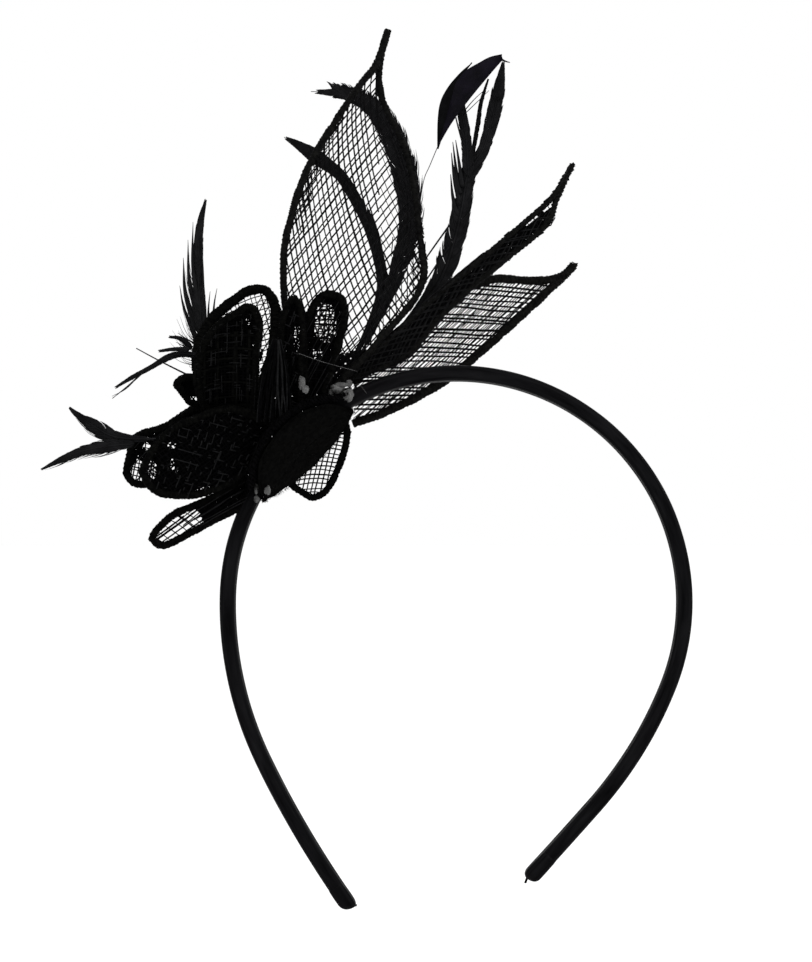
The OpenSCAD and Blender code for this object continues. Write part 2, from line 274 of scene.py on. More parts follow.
def straw_paint(name, low, high, level=0.12, ior=1.15):
    p = Paint(name, Specular_IOR_Level=level, IOR=ior)
    return p.grain((low, high), (900, 5), (0.42, 0.72), 2600, (0.35, 0.00006), (5200, 3))


def feather_paint(name, low, high, level=0.2, rough=(0.34, 0.58)):
    p = Paint(name, Specular_IOR_Level=level, IOR=1.2)
    return p.grain((low, high), (260, 4), rough, 1500, (0.3, 0.00004), (6000, 2))


def satin_paint():
    """Satin: floats run along the band, so the weave is fine ribs with a soft lengthwise sheen; the
    base colour also carries painted sheen, lighter and darker streaks along the band.
    """
    p = Paint("satin", Specular_IOR_Level=0.10, IOR=1.15, Anisotropic=0.5)
    where = p.place(attribute="place")
    stretched = p.place((60, 900, 1), attribute="place")
    # painted sheen: the base colour runs in lighter and darker streaks along the band
    p.colour(p.noise(stretched, 1.0, 5), (0.0007, 0.0007, 0.0009), (0.0062, 0.0061, 0.0068))
    p.rough(p.noise(stretched, 1.6, 3), 0.30, 0.52)
    p.bump(p.wave(where, 900, "Y", 0.4), 0.25, 0.00005)
    p.bump(p.wave(where, 1400, "X", 0.6), 0.18, 0.00004)
    p.bump(p.noise(stretched, 0.5, 4), 0.6, 0.00025)
    return p.material


def felt_paint():
    p = Paint("felt", Specular_IOR_Level=0.05, IOR=1.08)
    return p.grain((0.0008, (0.0038, 0.0038, 0.0036)), (700, 8, 0.75), (0.85, 1.0), 900,
                   (0.9, 0.0003), (2200, 8, 0.8))


def glue_paint():
    p = Paint("glue", Specular_IOR_Level=0.4, Transmission_Weight=0.25, IOR=1.4)
    return p.grain((0.012, (0.10, 0.10, 0.098)), (500, 4), (0.12, 0.35), 800,
                   (0.4, 0.0002), (900, 3))


def spring_paint():
    p = Paint("spring_strip", Specular_IOR_Level=0.5)
    return p.grain(((0.03, 0.03, 0.032), (0.06, 0.06, 0.065)), (300, 5), (0.3, 0.5), 900,
                   (0.2, 0.00005), (1800, 3))


STRAW = straw_paint("straw", (0.0012, 0.0012, 0.0014), (0.0052, 0.0050, 0.0054))
STRAW_DARK = straw_paint("straw_dark", (0.0004, 0.0004, 0.0005), (0.0022, 0.0021, 0.0023),
                         0.06, 1.1)
HEM = straw_paint("straw_hem", (0.0015, 0.0015, 0.0016), (0.0070, 0.0069, 0.0063))
HEM_DARK = straw_paint("straw_hem_dark", (0.0005, 0.0005, 0.0006), (0.0034, 0.0034, 0.0030),
                       0.08, 1.1)
PALE = straw_paint("straw_pale", (0.0026, 0.0026, 0.0028), (0.0098, 0.0098, 0.0102), 0.17)
PLUME = feather_paint("plume", (0.0018, 0.0018, 0.0021), (0.0078, 0.0078, 0.0085))
PLUME_DARK = feather_paint("plume_dark", (0.0006, 0.0006, 0.0008), (0.0030, 0.0030, 0.0034), 0.08)
# painted sheen: the violet tint in this colour stands for the folded feather's glossy purple sheen
VIOLET_SHEEN = feather_paint("plume_painted_violet_sheen", (0.0010, 0.0008, 0.0018), (0.0042, 0.0033, 0.0066), 0.10,
                       (0.25, 0.42))
SATIN, FELT, GLUE, SPRING = satin_paint(), felt_paint(), glue_paint(), spring_paint()

# material slots of every woven piece: plain straw, hem, and the paler straws of an upper layer
WEAVE_SLOT, HEM_SLOT, PALE_SLOT = 0, 1, 2
STRAWS, DARK_STRAWS = [STRAW, HEM, PALE], [STRAW_DARK, HEM_DARK, PALE]

for core in ("core_crown", "core_right", "core_left"):
    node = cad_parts[core]
    node.data.materials.clear()
    node.data.materials.append(SPRING)


def place(obj, body, slot, *nodes):
    """Declare what obj rides on, and the CAD nodes that it stands for; slot, its material slot, is not
    used.
    """
    if body:
        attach(obj, body)
    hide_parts(*nodes)
    return obj


# ------------------------------------------------------------------ the covered band

# the CAD source's sizes, in mm and degrees: the band's thickness and width, the crown arc's
# radius and the hinges' place past its top, and the felt oval's place and half sizes
BAND_T, BAND_W, CROWN_R, HINGE = 4.3, 8.0, 62.85, 75.0
CROWN_Z = BAND_T / 2 - CROWN_R
PAD_DEG, PAD_HALF_DEG, PAD_HALF_W = 44.5, 16.5, 16.0
ROUND_BAND = 3.4         # radius that turns an angle round the band into mm of cloth
# radius and angle of each side's arcs, from its hinge to its tip: 1 is right, -1 is left
ARMS = {1: [(CROWN_R, 37.0), (113.0, 19.5), (1500.0, 0.86)],
        -1: [(CROWN_R, 14.0), (99.0, 27.0), (285.0, 8.75)]}


def band_line(side, first):
    """Places (x, z) and headings down one side of the band, from first degrees past the top."""
    arcs = [(CROWN_R, HINGE - first), *ARMS[side]]
    h = math.radians(first)
    p = np.array([CROWN_R * math.sin(h), CROWN_Z + CROWN_R * math.cos(h)])
    out = [(*p, h)]
    for r, a in arcs:
        a = math.radians(a)
        c = p - r * np.array([math.sin(h), math.cos(h)])
        n = max(2, int(round(r * a)))
        for k in range(1, n + 1):
            q = h + a * k / n
            out.append((c[0] + r * math.sin(q), c[1] + r * math.cos(q), q))
        h += a
        p = np.array(out[-1][:2])
    out = np.array(out)
    out[:, 0] *= side
    out[:, 2] *= side
    return out


def band_section(m):
    """m points round the band's profile: across its thickness and front to back, with the
    angle round it. It starts at the seam, in the middle of the inside."""
    q = 2 * np.pi * (np.arange(m) + 0.5) / m
    squareness = 0.42
    n = -np.sign(np.cos(q)) * np.abs(np.cos(q)) ** squareness * BAND_T / 2
    y = -np.sign(np.sin(q)) * np.abs(np.sin(q)) ** squareness * BAND_W / 2
    return n, y, q


def round_place(s, q):
    """The cloth coordinate of a ring: s along the band and the way round it, in metres."""
    return np.stack([np.full(len(q), s), q * ROUND_BAND, np.zeros(len(q))], 1) * MM


def band_rings(line, seed):
    """Rings of the satin tube: the profile, soft lengthwise folds and the glued seam inside."""
    n0, y0, q = band_section(44)
    folds, fold_width, seam_depth, seam_width = 5, 0.16, 0.30, 0.10
    rings, values = [], []
    for s, (x, z, h) in zip(distance_along(line[:, :2]), line):
        fold = 0.0
        for j in range(folds):
            centre = np.pi * (0.35 + 0.35 * j) + smooth_noise(s, 26, seed + j, 0.25)
            depth = smooth_noise(s, 17, seed + 10 + j, 0.06)
            fold = fold + depth * np.exp(-((q - centre) / fold_width) ** 2)
        seam = seam_depth * np.exp(-((np.minimum(q, 2 * np.pi - q)) / seam_width) ** 2)
        lumps = smooth_noise(s + 300 * q, 9, seed + 20, 0.012)
        n = n0 + np.sign(n0) * (fold + lumps) - seam * (np.cos(q) > 0)
        y = y0 + np.sign(y0) * fold * 0.6
        normal = np.array([math.sin(h), 0, math.cos(h)])
        rings.append(np.array([x, 0, z]) + n[:, None] * normal + y[:, None] * np.array([0, 1, 0]))
        values.append(round_place(s, q))
    return np.array(rings), np.concatenate(values)


def satin_side(side, first, name, seed, *nodes):
    """One half of the satin, running from the crown round the hinge and down its arm."""
    rings, values = band_rings(band_line(side, first), seed)
    if side < 0:
        rings = rings[:, ::-1]
    b = Build()
    b.rings(rings, values=values)
    obj = b.make(name, [SATIN], "place")
    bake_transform(obj)
    return place(obj, None, "satin", *nodes)


satin_side(1, -PAD_DEG, "satin_right", 40, "cover_crown", "cover_right")
satin_side(-1, PAD_DEG, "satin_left", 60, "cover_left")


def satin_tip(side, name, node, body, seed):
    """The gathered end: the satin folded over the strip and glued, with a corner of cloth."""
    line = band_line(side, 0)
    x, z, h = line[-1]
    normal = np.array([math.sin(h), 0, math.cos(h)])
    ahead = side * np.array([math.cos(h), 0, -math.sin(h)])
    b = Build()
    n0, y0, q = band_section(48)
    rings, values = [], []
    blunt, close_from, skew = (2.6, 2.2, -0.7) if side > 0 else (3.4, 0.2, -1.4)
    pleats, overlap = 9, 4
    sleeve = np.linspace(-overlap, close_from, 8)
    dome = close_from + blunt * np.sin(np.linspace(0.15, 1.57, 10))
    for k, d in enumerate(np.concatenate([sleeve, dome])):
        shut = max(0.0, (d - close_from) / blunt)
        close = math.sqrt(max(0.0, 1 - shut ** 2.6))
        lip = 0.12 if k else 0.03
        pleat = 0.07 * np.sin(pleats * q + 2 * np.sin(q + seed)) * min(1, k / 4) * (0.4 + close)
        n = n0 * (close + (lip + pleat) * 2 / BAND_T * close) + skew * (1 - close)
        y = y0 * (0.35 + 0.65 * close + (lip + pleat) * 2 / BAND_W * close)
        ring = np.array([x, 0, z]) + d * ahead + n[:, None] * normal
        rings.append(ring + y[:, None] * np.array([0, 1, 0]))
        values.append(round_place(d, q))
    rings = np.array(rings)
    if side < 0:
        rings = rings[:, ::-1]
    b.rings(rings, values=np.concatenate(values))
    # the corner of cloth that stands out past the end
    root = np.array([x, 0, z]) + (4.2 if side > 0 else 2.9) * ahead + skew * normal
    way = np.array([-0.7, 0, -1.9]) if side > 0 else np.array([0.75, 0, -0.5])
    for layer in (-1, 1):
        path = root + way * np.linspace(-0.4, 1, 8)[:, None] + np.array([0, 0.3 * layer, 0])
        b.tube(path, np.linspace(1.0, 0.22, 8), 0.32 + np.zeros(8), normal=normal, sides=8)
    return place(b.make(name, [SATIN], "place"), body, "satin", node)


satin_tip(1, "satin_tip_right", "tip_right", "right_arm", 1)
satin_tip(-1, "satin_tip_left", "tip_left", "left_arm", 2)

# ------------------------------------------------------------------ felt oval


def on_crown(r, a, y):
    """Points at radius r from the crown arc's centre, a degrees to the left of its top."""
    a = np.radians(a)
    return np.stack([-r * np.sin(a), y + 0 * a, CROWN_Z + r * np.cos(a)], -1)


# how far the felt and the straw base under it stand off the band's middle line: (y, mm)
FELT_RISE = [(-16, 4.6), (-4.4, -3.05), (4.4, -3.05), (16, -8.3)]
BASE_RISE = [(-16, 6.2), (-9, 1.6), (-4.4, 2.95), (4.4, 2.95), (9, -3.55), (16, -6.7)]


def rise_of(table, y):
    return np.interp(y, [t[0] for t in table], [t[1] for t in table])


def felt_place(r, phi):
    """y and the angle on the crown of a point: r is 1 at the oval's edge, phi goes round it."""
    longer_below = 1.1
    y = PAD_HALF_W * r * np.cos(phi)
    down = np.sin(phi) * np.where(np.sin(phi) > 0, longer_below, 1)
    return y, PAD_DEG + PAD_HALF_DEG * r * down


def felt_oval():
    b = Build()
    turns, steps, half = 96, 22, 0.75
    rows = []
    outwards = np.linspace(0.02, 1, steps) ** 0.8
    rho = np.concatenate([outwards, outwards[::-1]])
    face = np.concatenate([np.ones(steps), -np.ones(steps)])
    phi = 2 * np.pi * np.arange(turns) / turns
    for r, s in zip(rho, face):
        edge = 1 + 0.012 * np.sin(5 * phi + 1) + 0.008 * np.sin(13 * phi)
        y, a = felt_place(r * edge, phi)
        swell = half * math.sqrt(max(0.0, 1 - r ** 10)) * s
        wave = 0.12 * np.sin(a * 0.5 + y * 0.4) + 0.08 * np.sin(y * 1.1 - a * 0.3)
        rows.append(on_crown(CROWN_R + rise_of(FELT_RISE, y) + swell + wave, a, y))
    b.rings(np.array(rows)[:, ::-1])
    # loose fibres stand off both faces and thicken the cut edge
    n, thickness = 5200, 0.035
    r = np.where(rng.random(n) < 0.45, 0.985 - 0.03 * rng.random(n), 0.98 * np.sqrt(rng.random(n)))
    phi = 2 * np.pi * rng.random(n)
    s = np.where(rng.random(n) < 0.5, -1.0, 1.0)
    y, a = felt_place(r, phi)
    swell = half * np.sqrt(1 - np.minimum(r, 0.999) ** 10) * s
    root = on_crown(CROWN_R + rise_of(FELT_RISE, y) + swell, a, y)
    out = unit(on_crown(CROWN_R + 5 + 0 * y, a, y) - on_crown(CROWN_R + 0 * y, a, y)) * s[:, None]
    way = unit(out * 0.35 + 1.1 * rng.normal(size=(n, 3)))
    bend = unit(rng.normal(size=(n, 3)))
    t = np.linspace(0, 1, 5)[None, :, None]
    length = rng.uniform(0.3, 0.8, n)[:, None, None]
    paths = root[:, None] + (way[:, None] * t + bend[:, None] * 0.5 * t * t) * length
    b.tubes(paths, thickness, normal=(0.3, 0.8, 0.5), sides=3)
    return place(b.make("felt_oval", [FELT]), "crown", "felt", "felt_pad")


felt = felt_oval()

# ------------------------------------------------------------------ woven straw


class Sheet:
    """A curved sheet given by a grid of points: rows from base to tip, columns left to right."""

    def __init__(self, grid):
        self.grid = grid
        n, m = grid.shape[:2]
        flat = grid.reshape(-1, 3)
        i, j = np.meshgrid(np.arange(n - 1), np.arange(m - 1), indexing="ij")
        quads = np.stack([i * m + j, (i + 1) * m + j, (i + 1) * m + j + 1, i * m + j + 1], -1)
        self.tree = BVHTree.FromPolygons(flat.tolist(), quads.reshape(-1, 4).tolist())
        self.size = (n - 1, m - 1)
        self.centre = flat.mean(0)
        normal = np.linalg.svd(flat - self.centre, full_matrices=False)[2][2]
        self.normal = normal if normal[1] < 0 or abs(normal[1]) < 0.2 and normal[2] > 0 else -normal
        a, b, c = grid[:-1, :-1], grid[1:, :-1], grid[:-1, 1:]
        self.area = float(np.linalg.norm(np.cross(b - a, c - a), axis=-1).sum())

    def point(self, u, f):
        n, m = self.size
        x, y = np.clip(u, 0, 1) * n, np.clip(f, 0, 1) * m
        i, j = np.minimum(x.astype(int), n - 1), np.minimum(y.astype(int), m - 1)
        s, t = (x - i)[..., None], (y - j)[..., None]
        g = self.grid
        return ((g[i, j] * (1 - s) + g[i + 1, j] * s) * (1 - t)
                + (g[i, j + 1] * (1 - s) + g[i + 1, j + 1] * s) * t)

    def hit(self, p):
        """The place on the sheet straight through p, with its u and f, or None."""
        found = self.tree.ray_cast(Vector(p + self.normal * 60), Vector(-self.normal))
        if found[0] is None:
            return None
        i, j = divmod(found[2], self.size[1])
        return np.array(found[0]), (i + 0.5) / self.size[0], (j + 0.5) / self.size[1]


def leaf_grid(left, right, cup, rows=72, columns=18):
    """A grid between two edge curves; cup is its hollow as a share of the width."""
    u = np.linspace(0, 1, rows + 1)
    a, b = along(left, u), along(right, u)
    lo, hi = np.maximum(0, u - 0.02), np.minimum(1, u + 0.02)
    ahead = along(left, hi) + along(right, hi) - along(left, lo) - along(right, lo)
    c = b - a
    w = np.linalg.norm(c, axis=1)
    n = unit(np.cross(ahead, c))
    f = np.linspace(0, 1, columns + 1)
    rise = cup * w[:, None] * 4 * f * (1 - f)
    return a[:, None] + c[:, None] * f[:, None] + n[:, None] * rise[..., None]


def threads(b, sheet, angle, spacing, radius=0.17, lift=0.0, bow=0.0, keep=None,
            slot=WEAVE_SLOT, jitter=0.10, flat=1.0, seed=0, missing=0.0):
    """A family of straw threads: straight lines at angle in the front view, laid on the sheet.

    keep(u, f, point) says where a thread is drawn, and missing is the share left out."""
    r = np.random.default_rng(seed + 1000)
    nrm = sheet.normal
    if abs(nrm[1]) > 0.25:
        c, s = math.cos(math.radians(angle)), math.sin(math.radians(angle))
        d = unit(np.array([c, -(c * nrm[0] + s * nrm[2]) / nrm[1], s]))
    else:
        e = unit(np.cross(nrm, (0, 1, 0)))
        d = math.cos(math.radians(angle)) * e + math.sin(math.radians(angle)) * np.cross(nrm, e)
    p = np.cross(nrm, d)
    flat_points = sheet.grid.reshape(-1, 3) - sheet.centre
    t0, t1 = (flat_points @ d).min() - 1, (flat_points @ d).max() + 1
    c0, c1 = (flat_points @ p).min(), (flat_points @ p).max()
    count = int((c1 - c0) / spacing) + 1
    step, wander = 0.9, 0.12
    ts = np.arange(t0, t1, step)
    for k in range(count):
        off = c0 + (k + 0.5) * spacing + r.normal() * jitter * spacing
        thick = radius * (0.85 + 0.3 * r.random())
        if r.random() < 0.10:
            thick *= 1.35
        if r.random() < missing:
            continue
        tilt = r.normal() * 0.006
        run = []
        for i, t in enumerate(ts):
            w = smooth_noise(t + 37.0 * k, 9, seed + 5, wander)
            span = (2 * t - t0 - t1) / (t1 - t0)
            q = sheet.centre + d * t + p * (off + float(w) + tilt * t + bow * (1 - span * span))
            found = sheet.hit(q)
            if found is not None and (keep is None or keep(found[1], found[2], found[0])):
                over = 0.10 * math.sin(math.pi * (t / (2 * spacing) + k))
                run.append(found[0] + nrm * (lift + over))
                if i < len(ts) - 1:
                    continue
            if len(run) > 1:
                path = np.array(run)
                wide = np.full(len(path), thick)
                b.tube(path, wide, wide * flat, normal=nrm, sides=5, slot=slot)
            run = []


def hem_path(sheet, inset):
    """Round the edge of a leaf or petal: up its left side, round the tip, down its right side."""
    u = np.linspace(0, 1, 90)
    width = np.linalg.norm(sheet.point(u, 0 * u + 1) - sheet.point(u, 0 * u), axis=1)
    f = np.minimum(0.5, inset / np.maximum(width, 0.01))
    left, right = sheet.point(u, f), sheet.point(u, 1 - f)
    return resampled(np.concatenate([left, right[::-1]]), 0.8)


def hem(b, path, normal, wide, thick, seed):
    """A rolled hem: a lumpy roll with two straw threads wound round it each way."""
    sides, strands, pitch, proud = 12, 2, 2.6, 0.06
    s = distance_along(path)
    path = path + normal * smooth_noise(s, 7, seed, 0.10)[:, None]
    tangent = unit(np.gradient(path, axis=0))
    side = unit(np.cross(tangent, np.broadcast_to(normal, path.shape)))
    up = np.cross(side, tangent)
    path = path + side * smooth_noise(s, 5, seed + 1, 0.10)[:, None]
    grow = 1 + smooth_noise(s, 2.2, seed + 2, 0.07)
    q = 2 * np.pi * np.arange(sides) / sides
    lump = (grow[:, None] + 0.06 * np.sin(3 * q[None] + s[:, None] * 1.3)
            + 0.04 * np.sin(5 * q[None] - s[:, None] * 2.1))
    ring = (path[:, None] + side[:, None] * (np.cos(q) * wide * lump)[..., None]
            + up[:, None] * (np.sin(q) * thick * lump)[..., None])
    b.rings(ring[:, ::-1], slot=HEM_SLOT)
    at = np.arange(0, s[-1], pitch / 9)
    c = columns_at(at, s, path)
    e, v = unit(columns_at(at, s, side)), unit(columns_at(at, s, up))
    g = np.interp(at, s, grow)
    for turn in (-1, 1):
        for k in range(strands):
            phi = (turn * 2 * np.pi * at / pitch + 2 * np.pi * k / strands
                   + smooth_noise(at, 6, seed + 7 * k + turn, 0.5))
            line = c + (e * (np.cos(phi) * (wide * g + proud))[:, None]
                        + v * (np.sin(phi) * (thick * g + proud))[:, None])
            b.tube(line, 0.15 + 0 * at, 0.11 + 0 * at, normal=unit(line - c), sides=4,
                   slot=HEM_SLOT)


def open_at(windows, share=1.0):
    """False inside any of the windows: each is (x, z, half width, half height, tilt) in mm."""
    def keep(u, f, p):
        for x, z, a, c, tilt in windows:
            q = math.radians(tilt)
            dx, dz = p[0] - x, p[2] - z
            e = ((dx * math.cos(q) + dz * math.sin(q)) / a) ** 2
            e += ((-dx * math.sin(q) + dz * math.cos(q)) / c) ** 2
            if e < share:
                return False
        return True
    return keep


def fam(angle, spacing, **more):
    """The facts of one family of threads."""
    return dict(angle=angle, spacing=spacing, **more)


def cross(one, other, spacing, radius):
    """Two families that cross, with the same spacing and thickness."""
    return [fam(angle, spacing, radius=radius) for angle in (one, other)]


def solid(angles, keep=None, lift=-0.5):
    """Flat straws laid side by side, for the parts where the layers hide the light."""
    return [fam(a, 0.66, radius=0.36, flat=0.4, lift=lift - 0.25 * k, keep=keep)
            for k, a in enumerate(angles)]


def pale(angle, spacing, radius, lift, jitter=0.3, missing=0.0, keep=None):
    """The paler straws of an upper layer."""
    return fam(angle, spacing, radius=radius, lift=lift, slot=PALE_SLOT, jitter=jitter,
               missing=missing, keep=keep)


def between(u0=-1, u1=2, f0=-1, f1=2):
    """True from u0 to u1 of the length and from f0 to f1 of the width."""
    return lambda u, f, p: u0 <= u <= u1 and f0 <= f <= f1


def patches(fine):
    """True in patches of the sheet, smaller ones for a larger number."""
    return lambda u, f, p: math.sin(31 * fine * u + 7 * f) * math.sin(19 * fine * f - 9 * u) > 0.0


def leaf(name, left, right, cup, families, inset=1.0, wide=1.0, thick=0.75, seed=0):
    """A leaf or petal of woven straw between its left and right edges, with a rolled hem."""
    sheet = Sheet(leaf_grid(left, right, cup))
    b = Build()
    for k, family in enumerate(families):
        threads(b, sheet, seed=seed * 50 + k, **family)
    hem(b, hem_path(sheet, inset), sheet.normal, wide, thick, seed)
    paints = DARK_STRAWS if name.startswith("petal") else STRAWS
    place(b.make(name + "_weave", paints), "crown", "sinamay", name)


# ---- leaves: each edge is a list of points from the root to the tip


leaf("leaf_tall",
     [[-40.6, -5, -4.1], [-46, -8, 9.5], [-48.0, -12, 24.5], [-47.0, -15, 39.5],
      [-40.7, -14, 58.5], [-28.6, -10, 78], [-21.9, -6, 87], [-19.3, -3, 96.5]],
     [[-33.2, -4, -2.7], [-17.5, -5, 14], [-8.4, 0, 26.5], [-8.6, 4, 39],
      [-12, 6, 61], [-18.9, 3, 76], [-20.4, -2, 86.5], [-18, -3, 96.5]], 0.1,
     [fam(50, 1.72, radius=0.215, jitter=0.08),
      fam(-77, 1.74, radius=0.205, bow=-3.5, jitter=0.08,
          keep=lambda u, f, p: p[0] < -21 or p[2] < 36),
      fam(-70, 2.0, radius=0.10, bow=-3, lift=0.2, keep=lambda u, f, p: p[0] > -21 and p[2] > 36),
      fam(52, 1.4, radius=0.15, lift=0.5, jitter=0.3,
          keep=lambda u, f, p: f < 0.17 and p[2] > 44 or f > 0.88 or p[2] < 12),
      fam(-74, 1.3, radius=0.16, lift=0.4, bow=-3,
          keep=lambda u, f, p: f < 0.15 and p[2] > 40 or f > 0.9),
      fam(82, 1.5, radius=0.15, lift=0.3, keep=lambda u, f, p: f > 0.80 and p[2] < 40),
      *solid((50, -40), lambda u, f, p: u < 0.1)],
     wide=0.95, seed=1)

# gaps (x, z, half length, half width, tilt) left open between the folded leaf's layers
FOLDED_SLITS = [(24.5, 48.2, 2.6, 1.5, 50), (20.3, 44.1, 2.3, 1.2, 46), (16.0, 40.9, 2.8, 0.6, 42),
                (10.5, 36.9, 3.3, 0.5, 42), (3.8, 30.5, 3.2, 0.5, 42)]

leaf("leaf_folded",
     [[-32.5, -1.5, 2], [-19.5, -3, 11.5], [-4.5, -5, 25], [12.4, -8, 38.6], [25.6, -11, 50.5],
      [31.2, -13, 59.3]],
     [[-30, -1, -0.5], [-14, 0, 5.5], [-3, -2, 17.5], [11.5, -5, 30.5], [25.4, -9, 42],
      [28.2, -10.5, 49.3], [32.6, -12, 58.5]], 0.15,
     [fam(40, 1.25, radius=0.23), fam(-56, 2.4, radius=0.16),
      *solid((40, -50), open_at(FOLDED_SLITS)),
      pale(62, 1.1, 0.2, 0.5, keep=open_at(FOLDED_SLITS)),
      pale(12, 1.4, 0.2, 0.6, keep=open_at(FOLDED_SLITS))],
     wide=0.72, seed=2)


def wide_root(u, f, p):
    """The wide leaf's closely layered root and upper edge."""
    return f < 0.06 + 0.5 * (0.3 - u)


leaf("leaf_wide",
     [[-28.5, 8, 0.5], [-15.5, 10, 13], [-4.5, 13, 22.5], [9.5, 16, 29.4], [21, 18, 29.3],
      [29, 19, 30.2], [32.6, 19, 33.8]],
     [[-28.5, 9.5, -12.6], [-15.2, 13, -7.4], [-2.6, 15, -0.2], [7.2, 17, 7.7], [21, 18, 20],
      [30.2, 19, 28.3], [34.2, 19, 32.4]], -0.06,
     [fam(-3, 1.36, radius=0.29, bow=1.2, jitter=0.16),
      fam(42, 0.5, radius=0.145, jitter=0.2), fam(47, 2.6, radius=0.13, lift=0.2, jitter=0.3),
      *solid((30, -20), wide_root, 0.3)],
     wide=1.15, seed=3)

# ---- petals

# gaps (x, z, half width, half height, tilt) left open in the petals' layers
HIGH_GAPS = [(-63.5, 14.6, 2.4, 0.8, 12), (-56.7, 15.6, 0.7, 1.3, 0), (-54.5, 9.9, 1.0, 1.5, 0),
             (-59.6, 17.2, 2.6, 0.5, 8), (-66.5, 12.6, 0.9, 1.2, 0)]


def rear_high_layers(u, f, p):
    """Two layers at the rear high petal's right edge and in an oval over its root."""
    oval = ((u - 0.1) / 0.56) ** 2 + ((f - 0.42) / 0.45) ** 2 < 1
    return (f > 0.93 or oval) and open_at(HIGH_GAPS)(u, f, p)


leaf("petal_rear_high",
     [[-63.5, 0, -12], [-70.5, 3, -4], [-73, 8, 7.5], [-68.8, 13, 16.9], [-60.6, 16, 24.3],
      [-55.5, 17, 26.0]],
     [[-53.5, 2, -12], [-52, 5, -1], [-49, 9, 10], [-48.5, 14, 19.5], [-51, 17, 25.0],
      [-54.2, 17, 26.0]], -0.1,
     [fam(24, 1.5, radius=0.15, bow=1), fam(100, 1.5, radius=0.14, bow=-1),
      fam(62, 1.6, radius=0.15, lift=0.2, keep=between(f0=0.62)),
      *solid((95, 5), rear_high_layers)],
     inset=1.4, wide=1.45, thick=0.9, seed=4)

leaf("petal_front_high",
     [[-63, -6, -13], [-70.5, -12, -5.5], [-71, -19, 5.5], [-66.7, -24, 13.4], [-60.1, -27, 17.8],
      [-57.5, -28, 19.5]],
     [[-55, -6, -13], [-54, -11, -4], [-53.5, -18, 6.5], [-52.5, -24, 14.5], [-54, -27, 19],
      [-56, -28, 19.5]], 0.12,
     [*cross(88, 2, 0.95, 0.22),
      *solid((88, 2, 45), open_at(HIGH_GAPS)),
      *(fam(a, spacing, radius=radius, lift=lift, flat=0.25, slot=HEM_SLOT, jitter=0.4,
            missing=0.15, keep=lambda u, f, p: p[2] < 14)
        for a, spacing, radius, lift in ((88, 2.6, 0.5, 0.4), (3, 2.8, 0.45, 0.45))),
      pale(88, 1.3, 0.15, 0.6, 0.4, 0.15, patches(1)),
      pale(3, 1.4, 0.15, 0.65, 0.4, 0.15, patches(1))],
     seed=5)

leaf("petal_slim",
     [[-48.4, -12.5, -10], [-49.2, -14, 2.5], [-48.6, -16, 13.5], [-47, -17, 20.5],
      [-44.7, -18, 22.5]],
     [[-41.8, -11.5, -7], [-41.5, -13, 2.5], [-41, -16, 12], [-41.5, -17, 19.5],
      [-43.2, -18, 22.5]], 0.08,
     [*cross(84, -5, 1.0, 0.2),
      *solid((88, 10), open_at([(-43.9, 10.4, 1.0, 4.6, 0)])),
      pale(70, 0.9, 0.16, 0.5, missing=0.1, keep=patches(1)),
      pale(-25, 1.0, 0.16, 0.55, missing=0.1, keep=patches(1))],
     wide=0.85, seed=6)

leaf("petal_round",
     [[-41.4, -8, -6.3], [-42.5, -10, 4], [-42, -13, 15], [-38.5, -14, 22], [-35, -15, 23.5]],
     [[-35.5, -7, -5.3], [-32, -9.5, 7], [-29.5, -12.5, 16], [-30, -14, 21.5],
      [-33.3, -15, 23.5]], 0.1,
     [fam(86, 1.2, radius=0.22), fam(-3, 1.25, radius=0.22),
      fam(80, 1.35, radius=0.18, lift=-0.9, slot=PALE_SLOT), fam(8, 1.5, radius=0.17, lift=-0.9),
      *solid((88, 0), open_at([(-35.8, 15.6, 3.0, 5.4, 0), (-37.8, 6.4, 1.2, 2.3, 0)])),
      pale(60, 1.4, 0.15, 0.5, missing=0.3)],
     seed=7)

leaf("petal_under",
     [[-46, 12, -14], [-47.5, 19, -20.5], [-47, 23, -28], [-43, 25, -31.5], [-40.7, 25, -32.5]],
     [[-30.5, 13.5, -9], [-29, 18, -14.5], [-31, 21, -22], [-35, 24, -30],
      [-39.2, 25, -32.5]], -0.1,
     [fam(75, 1.28, radius=0.19), fam(3, 1.28, radius=0.19, bow=0.8)],
     seed=8)

leaf("petal_long",
     [[-57.4, -3, -25.4], [-69, -7, -32], [-77.3, -11, -35.5], [-82, -14, -39.8],
      [-83.5, -15, -42.3]],
     [[-57.6, -1.5, -35.0], [-66, -6, -39.2], [-74, -10, -43.5], [-80, -13, -46],
      [-82.7, -15, -44.2]], 0.15,
     [fam(36, 1.15, radius=0.19, jitter=0.35), fam(-40, 1.9, radius=0.16, jitter=0.3, bow=1),
      fam(38, 0.9, radius=0.17, lift=0.3, keep=between(f0=0.3, f1=0.55)),
      *solid((70, -20), between(u1=0.33)),
      pale(30, 1.5, 0.16, 0.4, keep=between(u1=0.4))],
     seed=9)

FRONT_GAPS = [(-83.2, -24.6, 2.1, 3.1, 12), (-77.2, -17.8, 1.5, 0.9, 0),
              (-77.3, -23.4, 1.1, 2.0, 10), (-75.4, -25.6, 0.7, 0.7, 0),
              (-69.6, -30.2, 3.0, 0.4, 22), (-82.0, -19.5, 0.7, 0.5, 0)]
REAR_GAPS = [(-88, -24.8, 1.6, 2.8, 0), (-85.3, -17.8, 1.2, 0.6, 0)]

